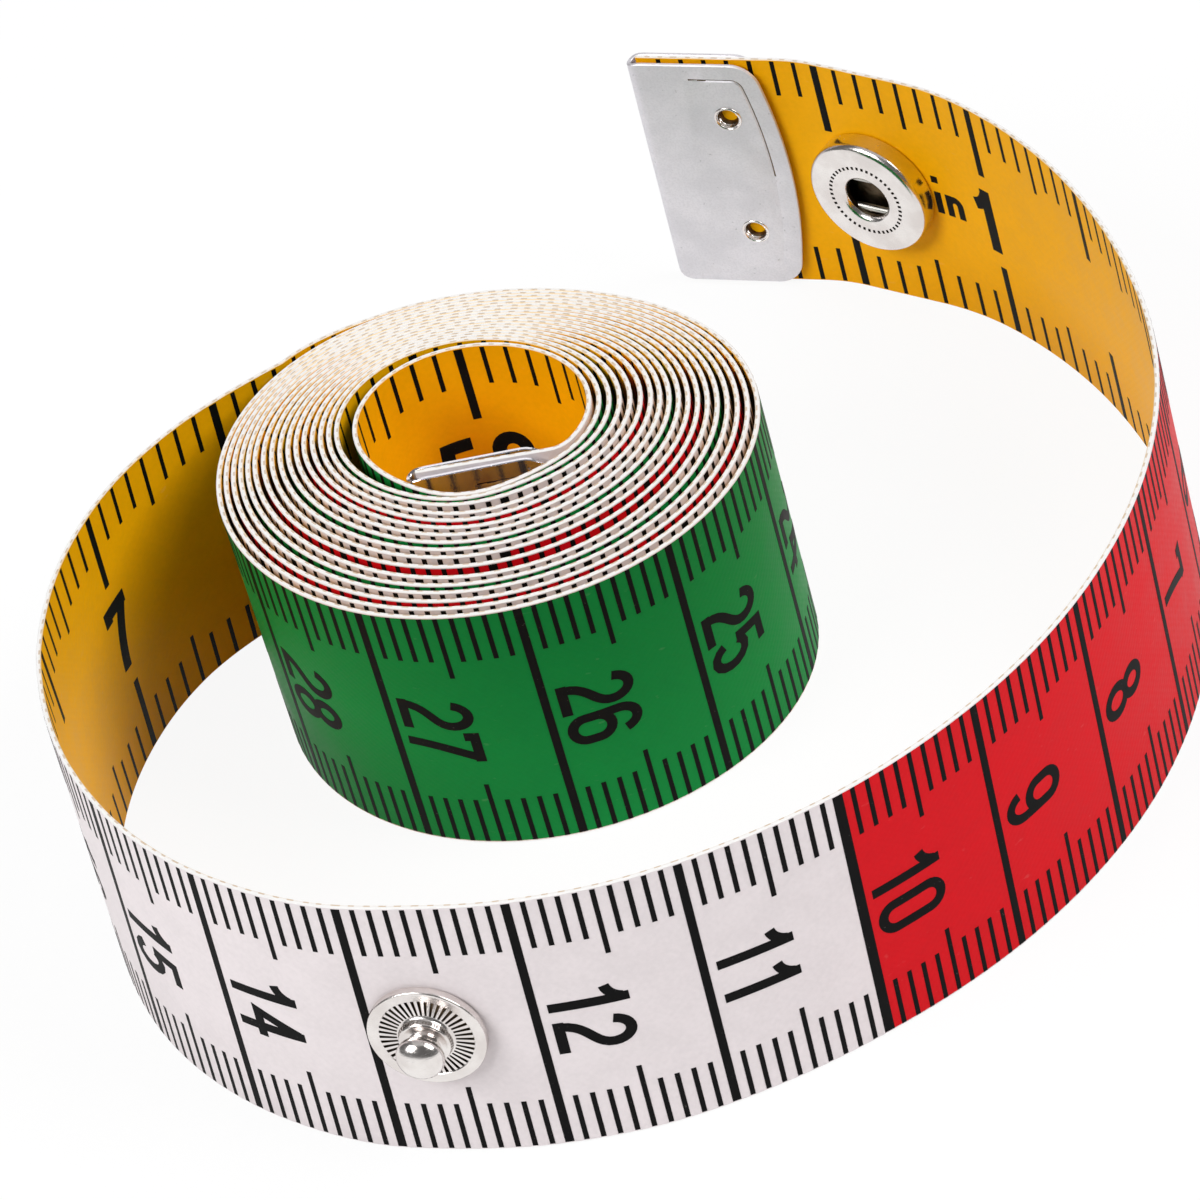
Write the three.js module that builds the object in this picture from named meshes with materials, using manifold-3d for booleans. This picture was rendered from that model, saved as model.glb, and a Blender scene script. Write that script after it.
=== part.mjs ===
// Cloth tape measure: a narrow printed tape standing on its edge, its free end drawn out in a wide
// loop and the rest wound into a coil. A folded metal clip closes each end, held by two hollow
// rivets, and a press stud keeps the rolled tape shut: a spring socket near the end, and the stud
// one outer turn further along. Millimetres, +Z up. The origin is at the bottom centre of the box.

import * as THREE from 'three';
import { mergeVertices } from 'three/addons/utils/BufferGeometryUtils.js';
import Module from 'manifold-3d';

// Tape
const TAPE_WIDTH = 19;
const TAPE_THICKNESS = 0.36;
const STEP_LENGTH = 2.5;

// Room between pieces that touch, and between the stretches of tape at a fold line
const CLEARANCE = 0.15;
const FOLD_GAP = 0.4;

// End clips: sheet metal folded over the tape's end, with a bowed lip
const CLIP_SHEET = 0.3;
const CLIP_LENGTH = 8.1;
const CLIP_BOW = 1.2;
const CLIP_INSET = 0.2;
const CLIP_CORNER = 1.2;

// Hollow rivets, set in from the clip's lip and from the tape's edges
const RIVET_FROM_LIP = 2.35;
const RIVET_FROM_EDGE = 4.7;
const RIVET_SHANK = 1.2;
const RIVET_WALL = 0.2;
const RIVET_BRIM = 0.35;
const RIVET_LIP = 0.2;

// Press stud, stud half: stud outside, post inside
const STUD_FLANGE = 7.2;
const STUD_FLANGE_RIM = 0.45;
const STUD_FLANGE_CROWN = 0.35;
const STUD_HEAD = 2.9;
const STUD_HEAD_HEIGHT = 1.9;
const STUD_HEAD_BULGE = 0.35;
const STUD_NECK_LENGTH = 0.3;
const STUD_WALL = 0.5;
const STUD_HEAD_FILL = 0.9;
const POST_INSET = 0.3;
const POST_RIM = 0.5;

// Press stud, socket half: cap outside, socket and its spring legs inside. The stud's head goes through
// the socket's mouth, between the legs, and into the cap's hollow post
const SOCKET_DIAMETER = 8.8;
const SOCKET_SHEET = 0.3;
const SOCKET_HEIGHT = 1.45;
const SOCKET_ROUND = 0.45;
const SOCKET_OVERHANG = 1.4;
const MOUTH_PLAY = 0.1;
const CAP_OVERHANG = 0.1;
const CAP_RIM = 0.5;
const CAP_CROWN = 0.5;
const CAP_POST_WALL = 0.3;
const CAP_HOLLOW = 0.3;
const SPRING_WIRE = 0.5;
const SPRING_GRIP = 0.2;
const SPRING_FROM_WALL = 1.6;

// Free stretch from the clip's fold to the coil, as [length, turn in degrees]; it bends clockwise
const END_HEADING = -26.6;
const CLIP_LEAD = 0.4;
const BEFORE_SOCKET = [[3, 16]];
const SOCKET_TO_STUD = [
  [6.3, 16.9], [12.5, 17.1], [12.5, 13], [13.3, 19], [13.3, 18.7], [13.4, 19.2], [11.1, 14.7], [11.1, 14.2],
  [11.2, 26.2],
];
const STUD_TO_COIL = [
  [10.15, 26.7], [10.15, 20.8], [10.15, 18.8], [10.15, 16], [10, 21.1], [10, 26.9], [14, 15.3],
];

// The free stretch folds at even steps, the last fold line a little before the coil
const STRETCHES = ['tape_end', 'tape_right', 'tape_front', 'tape_back'];
const COIL_LEAD = 6;

// Coil: the middle of the tape runs from the outer radius to the bore, whose centre sits further back
const COIL_WALL = 9.5;
const BORE_MARGIN = 2.9;
const BORE_SHIFT = new THREE.Vector2(-0.38, 2.92);
const LEAST_TURN_GAP = 0.41;
const LAST_LOOP_SHARE = 0.38;
const INNER_BEND = [2.5, 64];

// Fineness
const LOOP_STEPS = 36;
const ROUND_SIDES = 28;
const SMALL_SIDES = 14;
const ARC_STEPS = 6;

const halfTape = TAPE_THICKNESS / 2;
const face = halfTape + CLEARANCE;
const clipReach = CLIP_LENGTH + CLIP_BOW;
const socketSeat = SOCKET_DIAMETER - 2 * SOCKET_OVERHANG;

// Route of the tape: stations with a place, a heading and the length run so far

function turned(station, length, turn) {
  const bend = THREE.MathUtils.degToRad(turn);
  const middle = station.heading - bend / 2;
  const chord = bend === 0 ? length : (length * Math.sin(bend / 2)) / (bend / 2);
  return {
    x: station.x + chord * Math.cos(middle),
    y: station.y + chord * Math.sin(middle),
    heading: station.heading - bend,
    run: station.run + length,
  };
}

function along(bends, start, run) {
  let station = start;
  for (const [length, turn] of bends) {
    const left = run - station.run;
    if (left <= length) {
      return turned(station, left, (turn * left) / length);
    }
    station = turned(station, length, turn);
  }
  return station;
}

function totalLength(bends) {
  return bends.reduce((sum, [length]) => sum + length, 0);
}

function stationsOn(bends, start, from, to) {
  const steps = Math.max(1, Math.ceil((to - from) / STEP_LENGTH));
  return Array.from({ length: steps + 1 }, (_, i) => along(bends, start, from + ((to - from) * i) / steps));
}

const clipSeat = [clipReach + CLIP_LEAD, 0];
const snapSeat = [socketSeat, 0];
const freeBends = [clipSeat, ...BEFORE_SOCKET, snapSeat, ...SOCKET_TO_STUD, snapSeat, ...STUD_TO_COIL];
const tapeEnd = { x: 0, y: 0, heading: THREE.MathUtils.degToRad(END_HEADING), run: 0 };
const freeLength = totalLength(freeBends);
const foldStep = (freeLength - COIL_LEAD) / STRETCHES.length;
const socketAt = totalLength([clipSeat, ...BEFORE_SOCKET]) + socketSeat / 2;
const studAt = socketAt + socketSeat + totalLength(SOCKET_TO_STUD);
const coilStart = along(freeBends, tapeEnd, freeLength);

// The bore takes the inner clip, and the coil has as many loops as keep its turns apart
const boreRadius = clipReach / 2 + BORE_MARGIN;
const coilRadius = boreRadius + COIL_WALL;
const leastPitch = TAPE_THICKNESS + LEAST_TURN_GAP;
const roomyLoops = (COIL_WALL - BORE_SHIFT.length()) / leastPitch;
const coilLoops = Math.floor(roomyLoops - LAST_LOOP_SHARE) + LAST_LOOP_SHARE;

function coilStations() {
  const firstAngle = coilStart.heading + Math.PI / 2;
  const centreX = coilStart.x - coilRadius * Math.cos(firstAngle);
  const centreY = coilStart.y - coilRadius * Math.sin(firstAngle);
  const steps = Math.round(coilLoops * LOOP_STEPS);
  const stations = [];
  for (let i = 0; i <= steps; i += 1) {
    const share = i / steps;
    const angle = firstAngle - share * coilLoops * 2 * Math.PI;
    const radius = THREE.MathUtils.lerp(coilRadius, boreRadius, share);
    stations.push({
      x: centreX + BORE_SHIFT.x * share + radius * Math.cos(angle),
      y: centreY + BORE_SHIFT.y * share + radius * Math.sin(angle),
      heading: angle - Math.PI / 2,
      run: 0,
    });
  }
  return stations;
}

const innerBends = [INNER_BEND, [clipReach, 0]];
const coil = coilStations();
const innerEnd = stationsOn(innerBends, coil.at(-1), 0, totalLength(innerBends));

// Least gap between one turn of the coil and the next, on points of their facing sides
function sidePoint(station, offset) {
  return new THREE.Vector3(
    station.x - offset * Math.sin(station.heading),
    station.y + offset * Math.cos(station.heading),
    0,
  );
}

function leastTurnGap(stations) {
  const outer = stations.map((station) => sidePoint(station, halfTape));
  const inner = stations.map((station) => sidePoint(station, -halfTape));
  const halfLoop = Math.round(LOOP_STEPS / 2);
  const nearest = new THREE.Vector3();
  let least = Infinity;
  for (let i = 0; i + 1 < stations.length; i += 1) {
    const edge = new THREE.Line3(inner[i], inner[i + 1]);
    for (let j = i + halfLoop; j < stations.length; j += 1) {
      edge.closestPointToPoint(outer[j], true, nearest);
      least = Math.min(least, nearest.distanceTo(outer[j]));
    }
  }
  return least;
}

console.log(`${coilLoops.toFixed(2)} loops, least gap between turns ${leastTurnGap(coil).toFixed(3)} mm`);

// Solids

const wasm = await Module();
wasm.setup();

function solidFrom(geometry) {
  const bare = geometry.clone();
  bare.deleteAttribute('normal');
  bare.deleteAttribute('uv');
  const merged = mergeVertices(bare, 1e-4);
  const vertProperties = new Float32Array(merged.attributes.position.array);
  const triVerts = new Uint32Array(merged.index.array);
  return new wasm.Manifold(new wasm.Mesh({ numProp: 3, vertProperties, triVerts }));
}

function geometryFrom(solid) {
  const { vertProperties, triVerts } = solid.getMesh();
  const geometry = new THREE.BufferGeometry();
  geometry.setAttribute('position', new THREE.BufferAttribute(vertProperties, 3));
  geometry.setIndex(new THREE.BufferAttribute(triVerts, 1));
  return geometry;
}

// A stretch of tape through the given stations: outer and inner side, bottom and top edge
function tapeSolid(stations) {
  const points = [];
  for (const station of stations) {
    for (const [side, z] of [[1, 0], [-1, 0], [-1, TAPE_WIDTH], [1, TAPE_WIDTH]]) {
      const point = sidePoint(station, side * halfTape);
      points.push(point.x, point.y, z);
    }
  }
  const faces = [0, 1, 2, 0, 2, 3];
  for (let i = 0; i + 1 < stations.length; i += 1) {
    for (let corner = 0; corner < 4; corner += 1) {
      const near = 4 * i + corner;
      const beside = 4 * i + ((corner + 1) % 4);
      faces.push(near, near + 4, beside, beside, near + 4, beside + 4);
    }
  }
  const last = 4 * (stations.length - 1);
  faces.push(last, last + 2, last + 1, last, last + 3, last + 2);
  const geometry = new THREE.BufferGeometry();
  geometry.setAttribute('position', new THREE.Float32BufferAttribute(points, 3));
  geometry.setIndex(faces);
  return solidFrom(geometry);
}

// Places a piece drawn round the tape's own axes: x along the tape, y out of its outer side, z up
function placeAt(station, height) {
  const place = new THREE.Matrix4().makeRotationZ(station.heading);
  return place.setPosition(station.x, station.y, height);
}

function crossHole(diameter, reach, place) {
  const drill = new THREE.CylinderGeometry(diameter / 2, diameter / 2, 2 * reach, SMALL_SIDES);
  return solidFrom(drill.applyMatrix4(place));
}

function profile(points) {
  return points.map(([radius, y]) => new THREE.Vector2(radius, y));
}

function arcPoints(centre, radii, fromDegrees, toDegrees) {
  return Array.from({ length: ARC_STEPS + 1 }, (_, i) => {
    const angle = THREE.MathUtils.degToRad(THREE.MathUtils.lerp(fromDegrees, toDegrees, i / ARC_STEPS));
    return [centre[0] + radii[0] * Math.cos(angle), centre[1] + radii[1] * Math.sin(angle)];
  });
}

// Pieces

const finishes = {
  tape: { color: 0xd8cfc4, roughness: 0.55, metalness: 0 },
  clip: { color: 0xb9b6bc, roughness: 0.5, metalness: 0.9 },
  snap: { color: 0xc9c2b6, roughness: 0.25, metalness: 1 },
  spring: { color: 0x9a978f, roughness: 0.3, metalness: 1 },
};

const tapeMeasure = new THREE.Group();

function addPiece(name, finish, geometry, place) {
  const piece = new THREE.Mesh(geometry, new THREE.MeshStandardMaterial(finishes[finish]));
  piece.name = name;
  if (place) {
    place.decompose(piece.position, piece.quaternion, piece.scale);
  }
  tapeMeasure.add(piece);
}

// End clips and their rivets

const clipOutside = face + CLIP_SHEET;
const rivetHole = RIVET_SHANK + 2 * CLEARANCE;
const rivetAt = CLIP_LENGTH - RIVET_FROM_LIP;
const rivetPlaces = [RIVET_FROM_EDGE, TAPE_WIDTH - RIVET_FROM_EDGE].map(
  (height) => new THREE.Matrix4().makeTranslation(rivetAt, 0, height),
);

// Folded sheet as seen from above, then trimmed to the leaf's outline as seen from its side
function clipGeometry() {
  const section = new THREE.Shape();
  section.moveTo(clipReach, clipOutside);
  section.lineTo(0, clipOutside);
  section.absarc(0, 0, clipOutside, Math.PI / 2, -Math.PI / 2, false);
  section.lineTo(clipReach, -clipOutside);
  section.lineTo(clipReach, -face);
  section.lineTo(0, -face);
  section.absarc(0, 0, face, -Math.PI / 2, Math.PI / 2, true);
  section.lineTo(clipReach, face);
  const folded = new THREE.ExtrudeGeometry(section, {
    depth: TAPE_WIDTH,
    bevelEnabled: false,
    curveSegments: ARC_STEPS,
  });

  const low = CLIP_INSET;
  const high = TAPE_WIDTH - CLIP_INSET;
  const back = -clipOutside;
  const leaf = new THREE.Shape();
  leaf.moveTo(back + CLIP_CORNER, low);
  leaf.lineTo(CLIP_LENGTH, low);
  leaf.quadraticCurveTo(CLIP_LENGTH + 2 * CLIP_BOW, (low + high) / 2, CLIP_LENGTH, high);
  leaf.lineTo(back + CLIP_CORNER, high);
  leaf.absarc(back + CLIP_CORNER, high - CLIP_CORNER, CLIP_CORNER, Math.PI / 2, Math.PI, false);
  leaf.lineTo(back, low + CLIP_CORNER);
  leaf.absarc(back + CLIP_CORNER, low + CLIP_CORNER, CLIP_CORNER, Math.PI, 1.5 * Math.PI, false);
  const outline = new THREE.ExtrudeGeometry(leaf, {
    depth: 4 * clipOutside,
    bevelEnabled: false,
    curveSegments: 2 * ARC_STEPS,
  });
  outline.translate(0, 0, -2 * clipOutside).rotateX(Math.PI / 2);

  let clip = solidFrom(folded).intersect(solidFrom(outline));
  for (const place of rivetPlaces) {
    clip = clip.subtract(crossHole(rivetHole, 2 * clipOutside, place));
  }
  return geometryFrom(clip);
}

function rivetGeometry() {
  const shank = RIVET_SHANK / 2;
  const bore = shank - RIVET_WALL;
  const flange = shank + RIVET_BRIM;
  const seat = clipOutside + CLEARANCE;
  const top = seat + RIVET_LIP;
  return new THREE.LatheGeometry(profile([
    [bore, -top],
    [flange, -top],
    [flange, -seat],
    [shank, -seat],
    [shank, seat],
    [flange, seat],
    [flange, top],
    [bore, top],
    [bore, -top],
  ]), SMALL_SIDES);
}

function addEndClip(prefix, place) {
  addPiece(`${prefix}_end_clip`, 'clip', clipGeometry(), place);
  rivetPlaces.forEach((rivetPlace, i) => {
    addPiece(`${prefix}_clip_rivet_${i + 1}`, 'snap', rivetGeometry(), place.clone().multiply(rivetPlace));
  });
}

function rivetHoles(tape, place) {
  return rivetPlaces.reduce((drilled, rivetPlace) => {
    const holePlace = place.clone().multiply(rivetPlace);
    return drilled.subtract(crossHole(rivetHole, face, holePlace));
  }, tape);
}

// The clip's own axes start at the tape's end and point into the tape, so the inner one is turned round
const tapeInnerEnd = innerEnd.at(-1);
const outerClipPlace = placeAt(tapeEnd, 0);
const innerClipPlace = placeAt({ ...tapeInnerEnd, heading: tapeInnerEnd.heading + Math.PI }, 0);

// Tape

const socketPlace = placeAt(along(freeBends, tapeEnd, socketAt), TAPE_WIDTH / 2);
const studPlace = placeAt(along(freeBends, tapeEnd, studAt), TAPE_WIDTH / 2);
const mouth = STUD_HEAD / 2 + MOUTH_PLAY;
const capPost = mouth + CAP_POST_WALL;
const capPostHole = 2 * (capPost + CLEARANCE);
const studNeck = STUD_HEAD - 2 * STUD_HEAD_BULGE;
const studBore = studNeck - 2 * STUD_WALL;

// The free stretch is cut at its fold lines, each piece drawn back by half the gap
function addFreeTape() {
  STRETCHES.forEach((name, i) => {
    const from = i === 0 ? 0 : i * foldStep + FOLD_GAP / 2;
    const to = (i + 1) * foldStep - FOLD_GAP / 2;
    let tape = tapeSolid(stationsOn(freeBends, tapeEnd, from, to));
    if (i === 0) {
      tape = rivetHoles(tape, outerClipPlace);
    }
    if (from <= socketAt && socketAt < to) {
      tape = tape.subtract(crossHole(capPostHole, face, socketPlace));
    }
    if (from <= studAt && studAt < to) {
      tape = tape.subtract(crossHole(studBore, face, studPlace));
    }
    addPiece(name, 'tape', geometryFrom(tape));
  });
}

function addCoil() {
  const lead = stationsOn(freeBends, tapeEnd, freeLength - COIL_LEAD + FOLD_GAP / 2, freeLength);
  const tape = tapeSolid([...lead.slice(0, -1), ...coil, ...innerEnd.slice(1)]);
  addPiece('tape_coil', 'tape', geometryFrom(rivetHoles(tape, innerClipPlace)));
}

// Press stud

const baseInside = face + SOCKET_SHEET;
const socketFront = face + SOCKET_HEIGHT;

function addSocketHalf() {
  const rim = SOCKET_DIAMETER / 2;
  const chamber = rim - SOCKET_SHEET;
  const socket = new THREE.LatheGeometry(profile([
    [mouth, -socketFront],
    ...arcPoints([rim - SOCKET_ROUND, SOCKET_ROUND - socketFront], [SOCKET_ROUND, SOCKET_ROUND], -90, 0),
    [rim, -face],
    [capPostHole / 2, -face],
    [capPostHole / 2, -baseInside],
    [chamber, -baseInside],
    [chamber, SOCKET_SHEET - socketFront],
    [mouth, SOCKET_SHEET - socketFront],
    [mouth, -socketFront],
  ]), ROUND_SIDES);
  addPiece('snap_socket', 'snap', socket, socketPlace);

  const capRim = rim + CAP_OVERHANG;
  const cap = new THREE.LatheGeometry(profile([
    [0, face + CAP_HOLLOW],
    [mouth, face + CAP_HOLLOW],
    [mouth, -baseInside],
    [capPost, -baseInside],
    [capPost, face],
    ...arcPoints([0, face + CAP_RIM], [capRim, CAP_CROWN], 0, 85),
    [0, face + CAP_RIM + CAP_CROWN],
  ]), ROUND_SIDES);
  addPiece('snap_cap', 'snap', cap, socketPlace);

  const wire = SPRING_WIRE / 2;
  const wireLength = 2 * (chamber - SPRING_FROM_WALL);
  const wireOut = studNeck / 2 + wire - SPRING_GRIP / 2;
  const wireDepth = -(baseInside + socketFront - SOCKET_SHEET) / 2;
  for (const [name, side] of [['upper', 1], ['lower', -1]]) {
    const leg = new THREE.CylinderGeometry(wire, wire, wireLength, SMALL_SIDES);
    leg.rotateZ(Math.PI / 2).translate(0, wireDepth, side * wireOut);
    addPiece(`socket_spring_${name}`, 'spring', leg, socketPlace);
  }
}

function addStudHalf() {
  const flange = STUD_FLANGE / 2;
  const rimTop = face + STUD_FLANGE_RIM;
  const flangeTop = rimTop + STUD_FLANGE_CROWN;
  const studTop = flangeTop + STUD_NECK_LENGTH + STUD_HEAD_HEIGHT;
  const boreEnd = studTop - STUD_HEAD_FILL;
  const neckAngle = THREE.MathUtils.radToDeg(Math.acos(studNeck / STUD_HEAD));
  const headMiddle = [0, studTop - STUD_HEAD_HEIGHT / 2];
  const stud = new THREE.LatheGeometry(profile([
    [0, boreEnd],
    [studBore / 2, boreEnd],
    [studBore / 2, face],
    [flange, face],
    [flange, rimTop],
    [studNeck / 2, flangeTop],
    ...arcPoints(headMiddle, [STUD_HEAD / 2, STUD_HEAD_HEIGHT / 2], -neckAngle, 80),
    [0, studTop],
  ]), ROUND_SIDES);
  addPiece('snap_stud', 'snap', stud, studPlace);

  const postFlange = flange - POST_INSET;
  const postShank = studBore / 2 - CLEARANCE;
  const post = new THREE.LatheGeometry(profile([
    [0, -face - POST_RIM],
    [postFlange, -face - POST_RIM],
    [postFlange, -face],
    [postShank, -face],
    [postShank, boreEnd - CLEARANCE],
    [0, boreEnd - CLEARANCE],
  ]), ROUND_SIDES);
  addPiece('stud_post', 'snap', post, studPlace);
}

addFreeTape();
addCoil();
addEndClip('outer', outerClipPlace);
addEndClip('inner', innerClipPlace);
addSocketHalf();
addStudHalf();

// The origin is at the bottom centre of the whole tape's box
const box = new THREE.Box3().setFromObject(tapeMeasure, true);
const middle = box.getCenter(new THREE.Vector3());
tapeMeasure.position.set(-middle.x, -middle.y, -box.min.z);

STRETCHES.forEach((name, i) => {
  const fold = along(freeBends, tapeEnd, (i + 1) * foldStep);
  console.log(`fold after ${name}: ${(fold.x - middle.x).toFixed(3)}, ${(fold.y - middle.y).toFixed(3)} mm`);
});

export default tapeMeasure;
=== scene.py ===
"""A printed cloth tape measure that stands on its edge.

A free loop with a clip and a press stud runs into a coil.
"""

import math

import bmesh
import bpy
import numpy as np
from mathutils import Matrix, Vector


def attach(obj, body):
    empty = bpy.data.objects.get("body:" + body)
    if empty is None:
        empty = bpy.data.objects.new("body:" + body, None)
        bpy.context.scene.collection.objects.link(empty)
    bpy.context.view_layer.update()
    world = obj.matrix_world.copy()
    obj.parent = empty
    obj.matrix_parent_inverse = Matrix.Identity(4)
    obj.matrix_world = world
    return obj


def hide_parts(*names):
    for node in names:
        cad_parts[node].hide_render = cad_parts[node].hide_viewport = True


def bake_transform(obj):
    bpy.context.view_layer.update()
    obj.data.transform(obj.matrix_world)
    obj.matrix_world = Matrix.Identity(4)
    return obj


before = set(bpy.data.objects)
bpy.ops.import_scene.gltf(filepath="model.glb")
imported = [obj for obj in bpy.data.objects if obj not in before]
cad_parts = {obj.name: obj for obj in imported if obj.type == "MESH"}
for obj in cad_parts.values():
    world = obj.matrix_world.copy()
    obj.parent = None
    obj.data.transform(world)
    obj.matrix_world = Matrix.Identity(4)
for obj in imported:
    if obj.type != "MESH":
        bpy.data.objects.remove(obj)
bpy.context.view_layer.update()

# Lengths are in millimetres until a piece is made, and named angles are in degrees.
MM = 0.001

TAPE_WIDTH = 19.0
TAPE_THICKNESS = 0.31
HALF = TAPE_THICKNESS / 2
EDGE_ROUND = 0.05
BARE_MARGIN = 0.12
MID_HEIGHT = TAPE_WIDTH / 2

# The tape's route along its middle: clockwise from the outer end, each bend a length and a turn.
TAPE_END = (9.8019, 39.8972)
END_HEADING = -26.6
FREE_BENDS = (
    (9.7, 0), (3, 16), (6, 0), (6.3, 16.9), (12.5, 17.1), (12.5, 13), (13.3, 19),
    (13.3, 18.7), (13.4, 19.2), (11.1, 14.7), (11.1, 14.2), (11.2, 26.2), (6, 0),
    (10.15, 26.7), (10.15, 20.8), (10.15, 18.8), (10.15, 16), (10, 21.1), (10, 26.9),
    (6, 6.56),
)
ROUTE_STEP = 0.25
# The tape stands out a little round the stud.
BULGE_RUN, BULGE_REACH, BULGE_OUT = 127.5, 11, 0.5

# The coil, in polar form about its middle. Stages of its winding from the outermost turn to the
# innermost: an even radius, and how far the tape stands off it in one, two and three waves to the
# turn, as cosine and sine.
COIL_MIDDLE = (-6.077, 2.391)
COIL_START = 102.8
COIL_TURNS = 17.341
# Over how many degrees the free route comes onto the winding.
JOINING_ANGLE = 25
WINDING = (
    (16.727, -0.01, 0.03, 0.36, -0.58, 0.2, 0.03),
    (13.537, -0.12, 1.295, 0.34, -0.52, 0.19, 0.2),
    (10.207, -0.09, 2.52, 0.21, -0.45, 0.25, 0.22),
    (7.055, -0.33, 3.24, -0.362, -0.34, 0.27, 0.06),
)
# How far each turn stands off that where it crosses the front of the coil.
FRONT = -90
LOOSE_TURNS = (
    -0.05, -0.01, 0.05, 0.03, 0.12, 0.2, -0.05, -0.21, -0.15,
    -0.04, 0.04, 0.18, 0.07, 0.04, -0.3, -0.28, -0.03,
)
# The innermost turn comes away from the one round it.
SLACK = 0.75
SLACK_TURNS = (16.6, 17.2)
INNER_BEND = 1.5
INNER_CLIP_HEADING = -188
INNER_CLIP_REACH = 8.4

# The tape doesn't stand quite upright: how far its lower edge stands out from under its upper
# edge, to the outer side on the free stretch and along x and y on the coil.
LEAN_RUNS = (0, 20, 45, 75, 100, 125, 150, 165, 185, 204)
LEAN = (0.75, 0.85, 0.7, 0.35, -0.2, 0.45, 0.3, -0.2, 0.6, 0.2)
COILING_RUNS = (188, 212)
COIL_LEAN_RUNS = (200, 973, 1524)
COIL_LEAN_X, COIL_LEAN_Y = 0.45, (0.65, -0.025, -0.7)

# Pieces of the tape: name, first and last run, CAD node, the bodies that it joins, and the run of
# the fold between them.
TAPE_PIECES = (
    ("end", 0, 74, "tape_end", ("end_stretch", "right_stretch"), 49.5),
    ("right", 74, 115, "tape_right", ("right_stretch", "front_stretch"), 99),
    ("front", 115, 173, "tape_front", ("front_stretch", "back_stretch"), 148.5),
    ("back", 173, 212, "tape_back", ("back_stretch", "coil"), 198),
    ("coil", 212, None, "tape_coil", ("coil",), None),
)
FOLD_REACH = 12

# Print
INK_LIFT = 0.014
INK_SINK = 0.02
PRINT_LOW, PRINT_HIGH = BARE_MARGIN, TAPE_WIDTH - BARE_MARGIN
DECADE = 100
DECADE_COLOURS = ("red", "white", "green", "white") * 4
LAST_MILLIMETRE = 1500
MM_TICK, HALF_CM_TICK = 3.55, 4.9
TICK_PEN = 0.31
CM_LINE_PEN, DECADE_LINE_PEN = 0.53, 0.66
CM_FIGURE = {"width": 2.4, "height": 4.75, "pen": 0.66, "advance": 2.62}
CM_FIGURE_BASE = 0.78
INCH = 25.4
SIXTEENTH = INCH / 16
SIXTEENTHS = 957
SHORT_INCH_TICK, QUARTER_INCH_TICK, LONG_INCH_TICK = 2.85, 3.8, 5.5
LONG_INCH_PEN = 0.57
INCH_FIGURE = {"width": 2.85, "height": 5.2, "pen": 0.95, "advance": 3.55}
LONE_ONE_SHIFT = -0.45
UNIT_MARK_RUN = 20.57
UNIT_MARK_BASE = 8.4
# The unit mark's letters: how far along the mark, and how wide.
UNIT_LETTERS = (("i", 0, 0.62), ("n", 1.34, 1.5))
UNIT_FIGURE = {"height": 1.8, "pen": 0.55, "advance": 0}
STROKE_STEP = 0.5

# Metal pieces
CLIP_SHEET = 0.28
CLIP_LEAF = 0.55
CLIP_LENGTH = 8.1
CLIP_BOW = 1.2
CLIP_TALL = 18.6
CLIP_EDGE_FROM = 2.4
CLIP_LIP_CORNER = 1.5
CLIP_BEVEL = 0.05
# The clip's corners at its fold: their radius, where they start and are half done, and how much of
# that the upper one takes.
CLIP_CORNER = 1.2
CLIP_CORNER_FROM, CLIP_CORNER_HALF = 0.53, 0.28
CLIP_UPPER_CORNER = 0.35
# The line that is pressed into each leaf along its lip, and fades in its lower half.
GROOVE_INSET, GROOVE_WALL, GROOVE_RAMP, GROOVE_DEPTH = 1.1, 0.15, 0.15, 0.085
GROOVE_FROM = 3.7
GROOVE_FADE = 0.55
RIVET_RUN = 5.75
RIVET_HEIGHTS = (4.65, 14.35)
RIVET_HOLE = 0.76
STUD_RUN = 126.4
SOCKET_RUN = 15.7
# Where the socket's pits and the stud's flutes lie: inner and outer radius.
PIT_RING = (2.54, 2.79)
FLUTE_RING = (1.76, 2.83)
SPRING_OUT = 1.25
SPRING_DEPTH = 1.05
SPRING_RADIUS = 0.25
SPRING_HALF = 2.95
SPRING_END_OUT = 0.55
SPRING_END_ROUND = 0.07
# Steps of the turned pieces' spins, and the angles up to which pieces are shaded smooth.
RIVET_STEPS, DISC_STEPS, FINE_STEPS = 32, 64, 88
TAPE_SMOOTH, CLIP_SMOOTH, TURNED_SMOOTH = 30, 24, 35


# The route

def bent_route(x, y, heading, bends):
    """Places along a route of bends, after its start."""
    places = []
    for length, turn in bends:
        count = math.ceil(length / ROUTE_STEP)
        step, bend = length / count, math.radians(turn) / count
        chord = 2 * step / bend * math.sin(bend / 2) if bend else step
        for _ in range(count):
            x += chord * math.cos(heading - bend / 2)
            y += chord * math.sin(heading - bend / 2)
            heading -= bend
            places.append((x, y))
    return places


def smooth_share(value, start, end):
    """0 before the start, 1 after the end and smooth in between."""
    share = np.clip((value - start) / (end - start), 0, 1)
    return share * share * (3 - 2 * share)


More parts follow.
